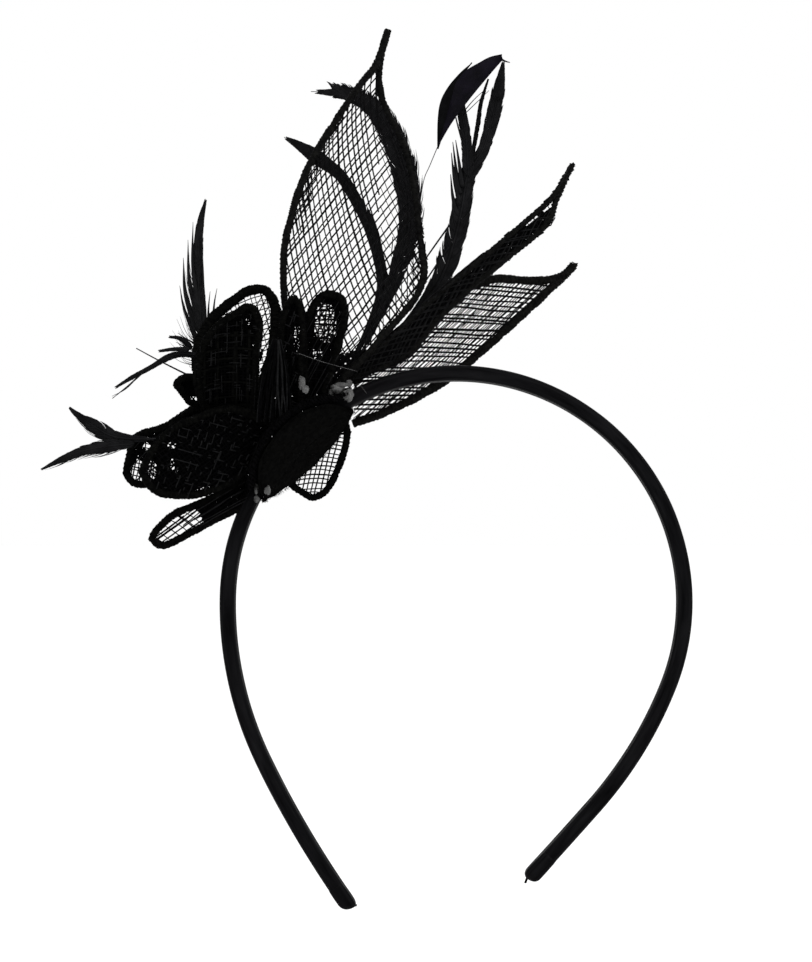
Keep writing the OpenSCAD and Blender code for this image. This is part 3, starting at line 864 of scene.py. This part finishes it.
leaf("petal_rear_low",
     [[-60.5, -3, -11.5], [-70.5, -2, -6.2], [-79.8, 0, -11.3], [-88.5, 3, -14.5], [-90.5, 5, -20.5],
      [-91.5, 6, -25]],
     [[-58, -4, -20.5], [-66, -3, -24.5], [-76, -1, -27], [-84, 2, -29], [-89, 4, -29],
      [-91, 6, -26.5]], -0.08,
     [*cross(80, -12, 1.2, 0.19),
      *solid((60, -30), open_at(REAR_GAPS + FRONT_GAPS, 1.3)),
      pale(45, 1.5, 0.16, 0.4, missing=0.3)],
     seed=10)

leaf("petal_front_low",
     [[-49.5, -9.5, -11.6], [-60.5, -14, -7], [-69.5, -18, -9], [-79, -21, -13.5], [-84, -23, -20.5],
      [-85.5, -23, -24.5]],
     [[-55.9, -7, -24.2], [-61.5, -9, -28], [-67, -13, -31], [-74, -17, -32.5],
      [-81.5, -21, -31], [-85, -23, -26]], 0.08,
     [*cross(35, -55, 1.2, 0.2),
      *solid((35, -55, 80), open_at(FRONT_GAPS)),
      pale(70, 0.7, 0.17, 0.45, 0.45, 0.2, patches(2.6)),
      pale(-15, 0.8, 0.17, 0.5, 0.45, 0.2, patches(2.6))],
     seed=11)

leaf("petal_small",
     [[-69.5, -7, -8.5], [-73, -9, -6.5], [-75.5, -11, -3.5], [-77, -12, -1.8]],
     [[-68, -7, -1], [-71, -9, 1.5], [-74.5, -11, 1.5], [-76.5, -12, -0.5]], 0.08,
     [*cross(50, -50, 0.9, 0.2),
      *solid((0, 90), open_at([(-71, -5.3, 1.3, 0.7, 0)]))],
     seed=12)


# ---- the gathered fold in the middle and the woven base under everything

def centre_fold():
    left = [[-54.5, -14, -11.5], [-53.6, -17, -3], [-51.6, -19.5, 5.5], [-49.8, -19, 11]]
    right = [[-44.6, -14, -12.3], [-45.4, -17, -3], [-46.3, -19.5, 5.5], [-47.8, -19, 11]]
    u = np.linspace(0, 1, 40)
    b = Build()
    sheet = Sheet(leaf_grid(left, right, 0.1, 40, 12))
    pleats = 34
    for k in range(pleats):
        f = (k + 0.5) / pleats + 0.02 * rng.normal()
        sway = 0.05 * np.sin(u * 5 + k) + (0.5 - f) * 0.35 * np.clip(u - 0.55, 0, 1)
        line = sheet.point(u, np.clip(f + sway, 0.02, 0.98))
        line = line + sheet.normal * (0.5 * np.sin(k * 1.9) + 0.2)
        wide = 0.24 + 0.1 * rng.random() + 0 * u
        b.tube(line, wide, wide * 0.7, normal=sheet.normal, slot=WEAVE_SLOT if k % 3 else PALE_SLOT)
    for family in solid((80, -20)):
        threads(b, sheet, seed=70, **family)
    place(b.make("centre_fold_weave", DARK_STRAWS), "crown", "sinamay",
                                 "centre_fold")


centre_fold()


def base():
    rows, columns = 40, 36
    q = np.radians(np.linspace(-84, 84, rows + 1))
    f = np.linspace(-1, 1, columns + 1)
    frill = 1.12    # the base's raw edge stands out beyond the glued part
    a = PAD_DEG + PAD_HALF_DEG * np.where(q > 0, 1.24, frill)[:, None] * np.sin(q)[:, None] + 0 * f
    y = frill * PAD_HALF_W * np.cos(q)[:, None] * f
    y = np.where(y > 0, y / frill, y)
    rise = np.where(y < -16, 6.2 - 0.65 * (y + 16), rise_of(BASE_RISE, y))
    sheet = Sheet(on_crown(CROWN_R + rise, a, y))
    b = Build()
    layer = dict(spacing=0.66, radius=0.36, flat=0.4)
    families = (*cross(10, 100, 0.95, 0.21), fam(55, lift=0.4, **layer), fam(-35, lift=0.6, **layer))
    for k, family in enumerate(families):
        threads(b, sheet, seed=600 + k, **family)
    edge = 0.965
    t = 2 * np.pi * np.linspace(0, 1, 140)
    y = PAD_HALF_W * edge * np.cos(t)
    a = PAD_DEG + PAD_HALF_DEG * edge * np.sin(t)
    loop = on_crown(CROWN_R + rise_of(BASE_RISE, y), a, y)
    hem(b, loop, sheet.normal, 0.8, 0.55, 77)
    place(b.make("base_weave", DARK_STRAWS), "crown", "sinamay", "straw_base")


base()

# ------------------------------------------------------------------ feathers


class Shaft:
    """A feather's shaft: places, vane widths and the directions across and out of the vane."""

    def __init__(self, points):
        u = np.linspace(0, 1, 240)
        p = along(points, u)
        self.c, self.w = p[:, :3], np.maximum(0.3, p[:, 3])
        self.s = distance_along(self.c)
        self.ahead = unit(np.gradient(self.c, axis=0))
        self.side = unit(np.cross(self.ahead, np.broadcast_to(TOWARDS_FRONT, self.c.shape)))
        self.out = unit(np.cross(self.side, self.ahead))
        self.length = self.s[-1]

    def at(self, s, what):
        s = np.clip(s, 0, self.length)
        return np.interp(s, self.s, what) if what.ndim == 1 else columns_at(s, self.s, what)


VANE_CUP = 0.06         # how far a vane's middle stands out, as a share of its width


def barbs(b, shaft, side, start, end, gap=0.33, size=1.0, lean=1.5, wide=0.21, slot=0, seed=0,
          ragged=0.10, cluster=8, tip=0.03, least=0.0, taper=True):
    """Barbs on one side of a shaft, from start to end of its length, in clusters that part."""
    r = np.random.default_rng(seed)
    root = np.arange(start * shaft.length, end * shaft.length, gap)
    n = len(root)
    group = np.cumsum(r.random(n) < 1.0 / cluster)
    g = r.normal(size=group.max() + 1)
    h = r.normal(size=group.max() + 1)
    half = np.maximum(shaft.at(root, shaft.w) / 2 * size, least)
    half = half * (1 + ragged * (0.7 * g[group] + 0.5 * r.normal(size=n)))
    forward = half * lean * (1 + 0.12 * h[group] + 0.05 * r.normal(size=n))
    t = np.linspace(0, 1, 7)
    lateral = half[:, None] * np.sin(t * 1.35) / math.sin(1.35)
    s = root[:, None] + forward[:, None] * t ** 1.3
    over = np.maximum(0, s - shaft.length)
    c, sd, out = shaft.at(s, shaft.c), shaft.at(s, shaft.side), shaft.at(s, shaft.out)
    ahead = shaft.at(s, shaft.ahead)
    w = shaft.at(s, shaft.w)
    if taper:
        lateral = lateral * np.minimum(1, w / shaft.at(root, shaft.w)[:, None])
    share = np.minimum(1, (2 * lateral / w) ** 2)
    rise = VANE_CUP * w * (1 - share) + 0.06 * r.normal(size=n)[:, None] * t
    paths = c + side * sd * lateral[..., None] + out * rise[..., None] + ahead * over[..., None]
    fine = np.interp(t, [0, 0.35, 0.8, 1], [0.7, 1, 0.75, tip / wide])
    b.tubes(paths, wide * fine[None] * (0.9 + 0.2 * r.random((n, 1))), 0.05, normal=out,
            sides=4, slot=slot)


def quill(b, shaft, big, small):
    s = np.arange(0, shaft.length, 0.9)
    c, out = shaft.at(s, shaft.c), shaft.at(s, shaft.out)
    w = shaft.at(s, shaft.w)
    r = np.interp(s, [0, 0.6 * shaft.length, shaft.length], [big, 0.7 * big, small])
    b.tube(c + out * (VANE_CUP * w)[:, None], r, r * 0.85, normal=out, sides=8)


def feather(b, points, seed, start=0.15, end=0.985, big=0.40, **more):
    """A quill with barbs on both sides. Its points are (x, y, z, width of the vane)."""
    shaft = Shaft(points)
    quill(b, shaft, big, 0.09)
    for side in (-1, 1):
        barbs(b, shaft, side, start, end, seed=seed + side, **more)
    return shaft


def hair(b, points, big=0.12, small=0.03, slot=0):
    """A loose barb or bare quill through a few points."""
    path = resampled(along(points, np.linspace(0, 1, 40)), 0.8)
    b.tube(path, np.linspace(big, small, len(path)), slot=slot)


def plume(name, node, b, materials, slot_name="feather"):
    place(b.make(name, materials), "crown", slot_name, node)


def hackle():
    b = Build()
    points = [[-30.5, 1, -1, 1], [-23, 5, 14, 1.6], [-17.5, 9, 26.5, 4.4], [-13.5, 13, 39.5, 6],
              [-13, 16, 50.5, 6.6], [-15.4, 18, 62, 6.7], [-19.6, 19, 71.8, 6], [-24.5, 18, 77.5, 4.5],
              [-30.5, 16, 80, 3.2], [-36, 14, 80.4, 1.6], [-41, 13, 80.6, 0.5]]
    shaft = feather(b, points, 11, start=0.12, end=0.97, lean=1.9)
    # short free barbs stand out along the outer side, and a ragged tuft near the tip
    barbs(b, shaft, 1, 0.40, 0.76, gap=0.8, size=1.12, lean=1.6, wide=0.26, seed=31, ragged=0.16,
          tip=0.02, cluster=2)
    barbs(b, shaft, 1, 0.38, 0.74, gap=0.7, size=1.15, lean=1.9, wide=0.14, seed=33, ragged=0.2,
          tip=0.02, cluster=2)
    barbs(b, shaft, 1, 0.80, 0.93, gap=0.22, lean=0.7, wide=0.20, seed=32, ragged=0.16, least=2.9,
          cluster=9, taper=False)
    barbs(b, shaft, -1, 0.80, 0.925, gap=0.25, lean=1.2, wide=0.18, seed=34, least=1.2,
          cluster=9, taper=False)
    hair(b, [[-15.4, 14, 50.5], [-17.6, 14, 58.9], [-20.1, 14, 64.4], [-22.1, 13, 67.7]], 0.5, 0.08)
    hair(b, [[-15.1, 14, 48], [-16.9, 14, 56.5], [-19, 14, 62.0], [-20.6, 13, 65]], 0.45, 0.06)
    plume("hackle_plume", "feather_hackle", b, [PLUME])


def biot():
    b = Build()
    feather(b, [[-31.5, 2.6, -0.5, 1], [-25, 7, 13, 1.6], [-20.5, 10, 25.5, 3],
                [-21.5, 12, 35, 3.3], [-24, 12, 43.5, 3.6], [-28, 10, 51, 3.3],
                [-32, 7, 57, 3.4], [-37.8, 3.5, 61.3, 4.4], [-42.7, 0.5, 64.5, 2.7],
                [-47.6, -1, 67.2, 0.3]],
            21, start=0.1, lean=1.7, ragged=0.04, cluster=20)
    plume("biot_plume", "feather_biot", b, [PLUME])


def split():
    b = Build()
    feather(b, [[-29, 4.2, 0.5, 1], [-15.5, 6, 14, 1.7], [-4.9, 8, 27, 5.7], [-0.4, 10, 39, 5.6],
                [1.9, 11, 49, 5], [3.4, 12, 57.5, 4.6], [7.7, 13, 64.5, 3.3], [10.3, 14, 73.5, 4.2],
                [12.1, 15, 82, 3.2], [13.4, 15, 89.6, 0.3]], 41, start=0.14, lean=2.0,
            ragged=0.07)
    feather(b, [[4.3, 14.5, 60.5, 1.0], [6.2, 15.5, 71.4, 1.1], [7.2, 16, 78, 0.9],
                [9.2, 16.5, 84.5, 0.3]], 42, start=0.0, lean=2.0, big=0.25)
    feather(b, [[3.6, 10.5, 57, 3.0], [2.9, 11, 66.9, 3.0], [1.8, 11, 74, 2.6], [1.0, 11, 80, 1.6]], 43,
            start=0.0, lean=2.0, big=0.25)
    for p in ([[1.2, 11, 52], [0.2, 11.5, 58], [-0.8, 12, 66.5]],
              [[1.0, 11, 50], [-0.4, 11, 56], [-1.2, 11.5, 63.5]],
              [[0.6, 11, 46], [-0.8, 11, 51], [-1.4, 11.5, 57.5]],
              [[1.8, 11, 54], [1.0, 11, 60], [0.0, 11.5, 67]],
              [[0.9, 11, 49], [0.3, 11, 54], [-0.6, 11, 60]],
              [[0.4, 11, 43], [-0.6, 11, 47], [-0.9, 11, 53]]):
        hair(b, p, 0.85, 0.10)
    hair(b, [[-1.6, 9, 43.4], [-5.2, 9, 38.4], [-9.4, 8, 32.4]], 0.30, 0.22)
    hair(b, [[-1.9, 9, 37.2], [-5.5, 9, 32], [-9.6, 8, 25.8]], 0.30, 0.22)
    hair(b, [[-0.6, 7.6, 46.3], [1.0, 7.4, 44.5], [2.8, 7.6, 43.5]], 0.13, 0.08)
    plume("split_plume", "feather_split", b, [PLUME])


def facet(b, left, right, rows, slot, bend=0.0):
    """Part of a closed vane: barbs that lie side by side from a point to a tip."""
    sheet = Sheet(leaf_grid(left, right, 0.06, 60, 14))
    u = np.linspace(0, 1, 60)
    wide = 0.18 * (0.9 + 0.25 * np.sin(np.pi * u))
    for k in range(rows):
        f = (k + 0.5) / rows
        line = sheet.point(u, np.full(60, f)) + sheet.normal * (bend * math.sin(math.pi * f))
        b.tube(line, wide, 0.09 + 0 * u, normal=sheet.normal, slot=slot)


def folded():
    b = Build()
    edge = [[-5.0, 9, 64.4], [-4.9, 10, 72.4], [-4.1, 11, 77.6], [-1.9, 12, 81.8],
            [1.4, 13, 85.7], [4.4, 13, 88.3]]
    crease = [[-4.9, 9, 64.4], [-2.4, 9.6, 72], [-0.6, 10.4, 78], [0.2, 11, 81.5],
              [2.4, 12, 85.6], [4.5, 13, 88.6]]
    facet(b, edge, crease, 30, 0)
    ridge = [[-4.8, 8.6, 65.4], [-2.8, 9, 72], [-1.0, 10, 78.5], [0.3, 10.6, 83.0],
             [3.0, 11, 86.2], [6.5, 11, 88.3], [9.5, 10, 89.8], [12.8, 9, 90.5]]
    hem_side = [[-4.8, 8.6, 65.4], [-1.6, 7.8, 70.9], [1.8, 7, 75.6], [6.0, 7, 80.9],
                [9.9, 8, 85.6], [13.0, 9, 89.2]]
    # this facet, and the hairs given slot 1, take the second material, whose violet tint is painted
    # sheen
    facet(b, ridge, hem_side, 44, 1, bend=0.5)
    hair(b, [[-4.9, 9, 65.2], [-7.1, 9, 59.9], [-8.8, 9, 55.8], [-9.9, 8, 48.8], [-10.6, 8, 44]],
         0.13, 0.09, 1)
    hair(b, [[2.6, 9, 75.2], [5.5, 9.5, 78.5], [8.6, 10, 81.2]], 0.16, 0.08)
    hair(b, [[2.0, 9, 73.6], [5.5, 9.5, 77], [9.2, 10, 80.6]], 0.14, 0.08)
    hair(b, [[12.2, 9, 89.4], [13.6, 9, 88.7], [15.0, 9, 88.3]], 0.42, 0.12, 1)
    shaft = Shaft([[-27.5, 6.2, 1, 1], [-13.5, 8.4, 15, 1], [0, 12.5, 36.5, 1],
                   [3.5, 14.5, 56.5, 1], [0, 15.5, 74, 0.8]])
    quill(b, shaft, 0.45, 0.2)
    plume("folded_plume", "feather_folded", b, [PLUME_DARK, VIOLET_SHEEN], "glossy_feather")


def rear():
    b = Build()
    shaft = feather(b, [[-59.5, 5, -12, 1], [-64.5, 9, -2.5, 1.2], [-69.6, 14, 10, 3],
                        [-71.2, 18, 23, 3.2], [-71.8, 21, 33.5, 2.9], [-71.2, 23, 44, 2.0],
                        [-69.6, 24, 51.6, 0.3]], 51, start=0.3, lean=2.8, ragged=0.06)
    barbs(b, shaft, -1, 0.30, 0.62, gap=0.95, size=2.0, lean=3.0, wide=0.10, seed=55, ragged=0.2,
          tip=0.02, cluster=3)
    for strand, w in (([[-71.9, 18, 14.5], [-75.2, 20, 24.5], [-75.9, 22, 34.8]], 1.25),
                      ([[-71.6, 18, 17.5], [-74.2, 20, 28.5], [-74.6, 22, 39.8]], 1.1),
                      ([[-71.3, 18, 20.5], [-73.2, 20, 32.5], [-73.2, 22, 44.8]], 1.0),
                      ([[-72.2, 18, 12.0], [-75.6, 20, 20.5], [-76.9, 22, 27.0]], 0.9),
                      ([[-70.2, 18, 20.5], [-70.4, 20, 31.0], [-70.8, 22, 41.0]], 0.6)):
        hair(b, strand, w, 0.06)
    downs = 26
    for k in range(downs):
        t = k / (downs - 1)
        root = np.array([-71.0 - 0.8 * t, 13 + 2 * t, 12 - 8 * t])
        way = np.array([-0.32 - 0.75 * t, 0.1, 1.0 - 0.55 * t]) * (9 + 3 * math.sin(3.7 * k) - 4 * t)
        sag = np.array([-0.8, 0.2, -0.4])
        hair(b, [root, root + 0.5 * way + sag, root + way], 0.13, 0.03)
    for p in ([[-68.7, 14, 17], [-68.6, 15, 21], [-68.2, 16, 25.2]],
              [[-67.3, 14, 18], [-67.0, 15, 22], [-66.3, 16, 26.0]],
              [[-71, 13, 10], [-74, 12, 11.5], [-77, 11, 13.5]],
              [[-71, 13, 8.5], [-74.5, 12, 9.5], [-77.5, 11, 11]]):
        hair(b, p, 0.42, 0.06)
    plume("rear_plume", "feather_rear", b, [PLUME])


def wisp():
    b = Build()
    feather(b, [[-62.5, -3.5, -4.5, 0.8], [-67, -5, 3, 1], [-70, -6, 6.5, 1.4],
                [-77, -8, 7, 1.6], [-83.5, -10, 3.5, 1.2], [-89, -11, 0.5, 1],
                [-93, -12, -2, 0.5]], 61, start=0.35, lean=3.0, big=0.28, gap=0.45, wide=0.2)
    feather(b, [[-73, -8.5, 8.5, 1.2], [-77, -9.5, 8.5, 1], [-81, -10.5, 8, 0.5]], 62, start=0.0,
            lean=2.5, big=0.2)
    feather(b, [[-72.5, -4, 9, 1.6], [-75.5, -5, 11.5, 1], [-78.5, -6, 12, 0.5]], 63, start=0.0,
            lean=2.5, big=0.2)
    hair(b, [[-87.5, -9, 8.8], [-81, -8.5, 5.3], [-73, -8, 1.3]], 0.16, 0.28)
    hair(b, [[-84.5, -10, 3.2], [-89, -11, -1.0], [-93.9, -12, -5.0]], 0.34, 0.10)
    hair(b, [[-86, -10, 2.2], [-90, -11, -2.2], [-94, -12, -4.4]], 0.2, 0.06)
    plume("wisp_plume", "feather_wisp", b, [PLUME])


def fork():
    b = Build()
    shaft = feather(b, [[-59.5, -7.5, -17, 0.8], [-70, -8, -16.5, 1], [-84, -8.5, -16, 1.4],
                        [-90.2, -8, -15.9, 3.2], [-94.8, -7, -15.0, 4.6], [-99.3, -6, -12.4, 3.8],
                        [-103, -6, -9.9, 1.8], [-106.2, -5, -7.2, 0.3]], 71, start=0.5, lean=1.8,
                    ragged=0.07)
    barbs(b, shaft, -1, 0.66, 0.93, gap=0.8, size=1.35, lean=2.8, wide=0.10, seed=75, ragged=0.2,
          tip=0.02, cluster=3)
    low = feather(b, [[-88, -9, -17.4, 2.4], [-94, -9, -17.8, 3.6], [-101, -8.8, -19, 2.6],
                      [-107, -8.5, -21.2, 1.8], [-113.6, -8, -24.4, 0.3]], 72, start=0.0,
                  lean=2.2, big=0.25)
    barbs(b, low, -1, 0.05, 0.7, gap=0.9, size=1.5, lean=3.0, wide=0.09, seed=76, ragged=0.2,
          tip=0.02, cluster=3)
    plume("fork_plume", "feather_fork", b, [PLUME])


for make_plume in (hackle, biot, split, folded, rear, wisp, fork):
    make_plume()

# ------------------------------------------------------------------ glue


def glue():
    """Blobs of dried glue, each a place, a radius and its stretch in x, y and z, and strings."""
    b = Build()
    drops = (((-29.8, -6.4, -4.0), 1.6, (1.0, 0.6, 1.0)),
             ((-32.6, -6.6, -2.2), 1.5, (1.5, 0.6, 0.8)),
             ((-31.2, -6.8, -1.2), 1.1, (1.6, 0.5, 0.7)),
             ((-34.6, -6.4, -3.2), 1.1, (0.9, 0.5, 1.0)),
             ((-29.3, -6.6, -0.8), 0.9, (1.2, 0.5, 0.9)),
             ((-42.0, -15.4, -0.8), 1.1, (0.8, 0.6, 1.6)),
             ((-41.2, -15.6, -2.6), 0.9, (1.0, 0.6, 1.2)),
             ((-54.8, -6.0, -29.6), 0.8, (0.9, 0.5, 1.6)),
             ((-54.6, -5.6, -32.4), 0.8, (0.9, 0.5, 1.3)),
             ((-51.8, -6.6, -30.0), 0.9, (0.9, 0.5, 1.5)))
    th = np.linspace(0.05, np.pi - 0.05, 22)[:, None]
    ph = np.linspace(0, 2 * np.pi, 28, endpoint=False)[None]
    x, y, z = np.sin(th) * np.cos(ph), np.sin(th) * np.sin(ph), np.cos(th) + 0 * ph
    for k, (c, r, shape) in enumerate(drops):
        lump = (1 + 0.16 * np.sin(3 * x + 2 * k) + 0.13 * np.sin(4 * z + 5 * y + k)
                + 0.06 * np.sin(9 * x - 7 * z))
        rows = np.stack([x * shape[0], y * shape[1], z * shape[2]], -1) * lump[..., None] * r
        b.rings(rows + np.array(c))
    hair(b, [[-43, -17.5, 7.2], [-36, -16, 4.8], [-27, -12, 2.4]], 0.08, 0.06)
    hair(b, [[-30, -7, -3], [-27, -8, -1.0], [-24.5, -8, -3.5]], 0.08, 0.05)
    place(b.make("glue_blobs", [GLUE]), "crown", "glue", "glue_drops")


glue()

# ------------------------------------------------------------------ stage, light and camera


# the camera stands 1.5 m in front and looks straight along y at the middle of the object's
# picture, so the lens takes in the whole object with the photograph's margins
CAMERA = (-0.01375, -1.5, -0.0275)
LENS = 204.1
# the arms' tips go down as they open, so the floor is this far under the lowest part
FLOOR_GAP = 0.008


def floor():
    z = min(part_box(n)[0].z for n in ("tip_left", "tip_right", "cover_left")) - FLOOR_GAP
    mesh = bpy.data.meshes.new("floor")
    mesh.from_pydata([(-6, -3, z), (6, -3, z), (6, 9, z), (-6, 9, z)], [], [(0, 1, 2, 3)])
    p = Paint("floor", Specular_IOR_Level=0.1, Roughness=0.9)
    p.colour(p.noise(p.place(), 3, 3), 0.86, 0.90)
    mesh.materials.append(p.material)
    add_object("floor", mesh)


def lights():
    world = bpy.data.worlds.new("studio")
    world.use_nodes = True
    background = world.node_tree.nodes["Background"].inputs
    background["Color"].default_value = (1, 1, 1, 1)
    background["Strength"].default_value = 1.0
    bpy.context.scene.world = world
    sun = bpy.data.lights.new("sun", "SUN")
    sun.energy, sun.angle = 0.9, math.radians(50)
    add_object("sun", sun).rotation_euler = (math.radians(25), math.radians(12), 0)
    for name, at, power, size in (
            ("key", (-0.7, -1.1, 0.9), 5, 0.5), ("rim", (0.9, -0.3, 0.5), 3, 0.4)):
        lamp = bpy.data.lights.new(name, "AREA")
        lamp.energy, lamp.size = power, size
        obj = add_object(name, lamp)
        obj.location = at
        aim = Vector((-0.01, 0, -0.03)) - Vector(at)
        obj.rotation_euler = aim.to_track_quat("-Z", "Y").to_euler()


def camera():
    data = bpy.data.cameras.new("camera")
    data.sensor_width, data.lens = 36, LENS
    data.clip_start, data.clip_end = 0.05, 30
    obj = add_object("camera", data)
    obj.location = CAMERA
    obj.rotation_euler = (math.radians(90), 0, 0)
    bpy.context.scene.camera = obj
    bpy.context.scene.view_settings.view_transform = "Standard"


floor()
lights()
camera()
